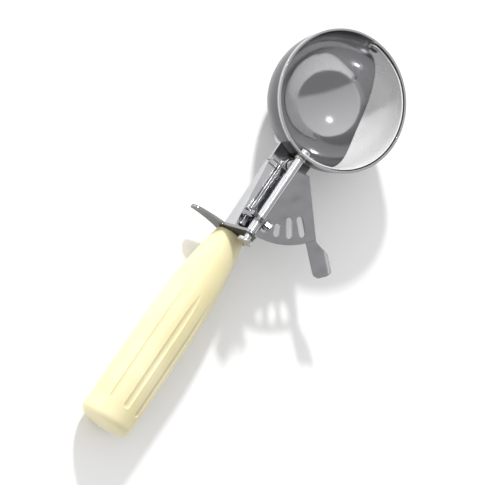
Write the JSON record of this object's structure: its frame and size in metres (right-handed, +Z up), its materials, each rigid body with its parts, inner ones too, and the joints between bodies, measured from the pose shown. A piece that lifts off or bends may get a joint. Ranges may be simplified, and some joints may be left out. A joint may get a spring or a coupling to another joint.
{
  "type": "portion scoop",
  "caption": "Thumb-lever portion scoop: hemispherical bowl with a geared sweep blade, slotted sector lever, channel frame, finger guard and a fluted grip.",
  "frame": {"origin": "centre of the bounding box at table level", "axes": "+X from the handle towards the bowl, +Y towards the finger guard, +Z up; the bowl and the end of the handle both touch z = 0"},
  "size_m": [0.2232, 0.0812, 0.0406],
  "materials": {
    "polished_steel": "mirror-polished stainless steel",
    "blade_steel": "polished stainless spring sheet",
    "shaft_steel": "centreless-ground stainless bar",
    "pressed_steel": "tumbled stainless pressings",
    "rivet_steel": "cold-headed stainless rivets",
    "spring_steel": "drawn stainless spring wire",
    "bush_brass": "turned brass",
    "ivory_plastic": "moulded ivory plastic, semi-gloss"
  },
  "bodies": {
    "body": {"bowl": "polished_steel", "cradle_rivets": "rivet_steel", "front_bush": "bush_brass", "far_pivot_pin": "rivet_steel", "lever_pivot_rivet": "rivet_steel", "spring_sleeve": "shaft_steel", "lever_washer": "bush_brass", "return_spring": "spring_steel", "frame": "pressed_steel", "guard_plate": "pressed_steel", "handle_tang": "pressed_steel", "tang_rivets": "rivet_steel", "handle": "ivory_plastic"},
    "lever": {"thumb_lever": "pressed_steel"},
    "sweep": {"blade_shaft": "shaft_steel", "shaft_pinion": "shaft_steel", "shaft_spacer": "shaft_steel", "shaft_end_collar": "shaft_steel", "sweep_blade": "blade_steel", "blade_boss": "shaft_steel"}
  },
  "joints": [
    {"name": "lever_pivot", "type": "hinge", "parent": "body", "child": "lever", "pos_m": [0.03837, 0.00629, 0.02729], "axis": [0.0065, 0, -1], "range_deg": [0, 29.69], "stiffness_Nm_per_rad": 0.35, "springref_deg": -25.78, "deforming": ["return_spring"]},
    {"name": "sweep_turn", "type": "hinge", "parent": "body", "child": "sweep", "pos_m": [0.00633, 0.00629, 0.03354], "axis": [1, 0, 0.0065], "range_deg": [0, 147.3]}
  ],
  "couplings": [
    {"joint": "sweep_turn", "follows": "lever_pivot", "ratio": 4.9587}
  ]
}
